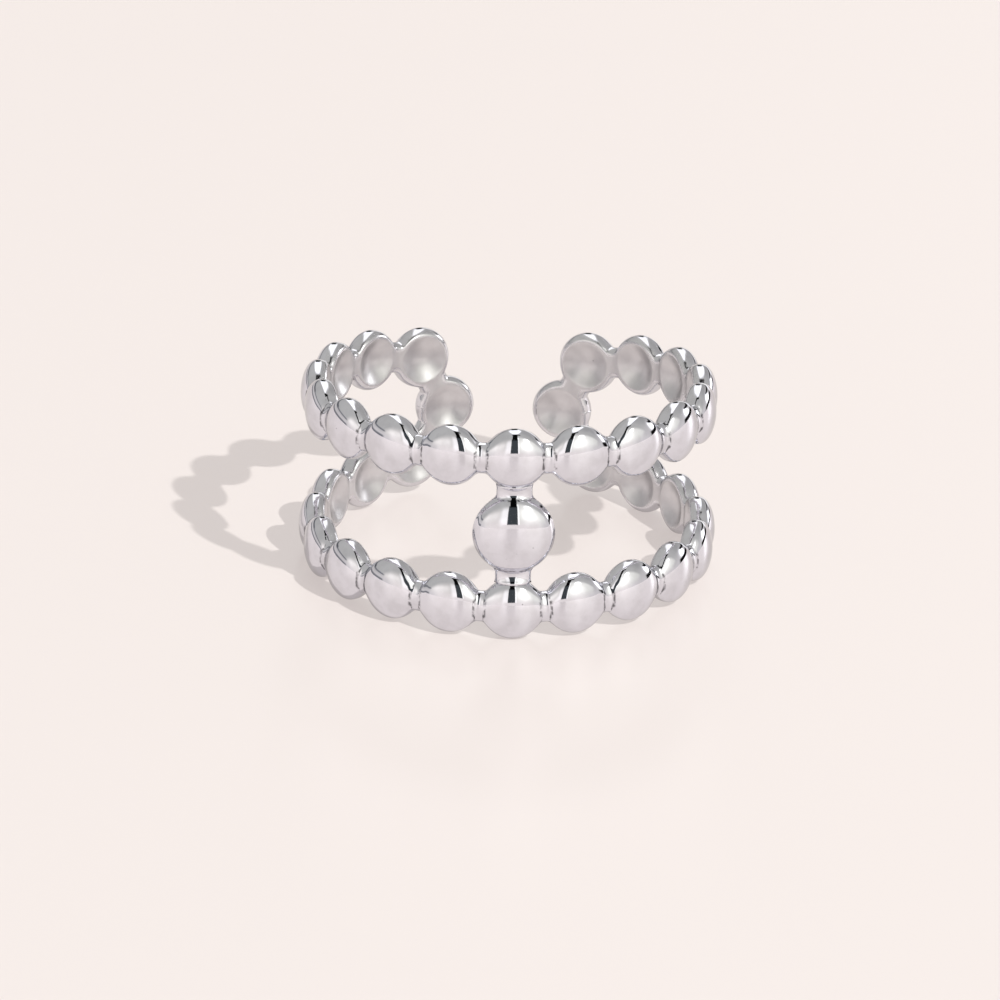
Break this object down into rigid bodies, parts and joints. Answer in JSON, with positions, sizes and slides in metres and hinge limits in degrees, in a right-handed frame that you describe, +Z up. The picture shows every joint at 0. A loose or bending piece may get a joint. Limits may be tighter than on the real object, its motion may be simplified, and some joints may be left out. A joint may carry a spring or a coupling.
{
  "type": "adjustable beaded ring",
  "caption": "Open finger ring: two rows of hollow-backed domed beads, bridged at the front by a larger bead and closed by a bead at each side of the gap.",
  "frame": {"origin": "centre of the bounding box, on the surface that the ring lies on", "axes": "+Z up, within 3.6 degrees of the finger axis; the large front bead faces -Y and the gap faces +Y; +X to the wearer's right as the front is seen"},
  "size_m": [0.0198, 0.0198, 0.0103],
  "materials": {
    "silver": "polished"
  },
  "bodies": {
    "root": {"ring": "silver"}
  },
  "joints": []
}
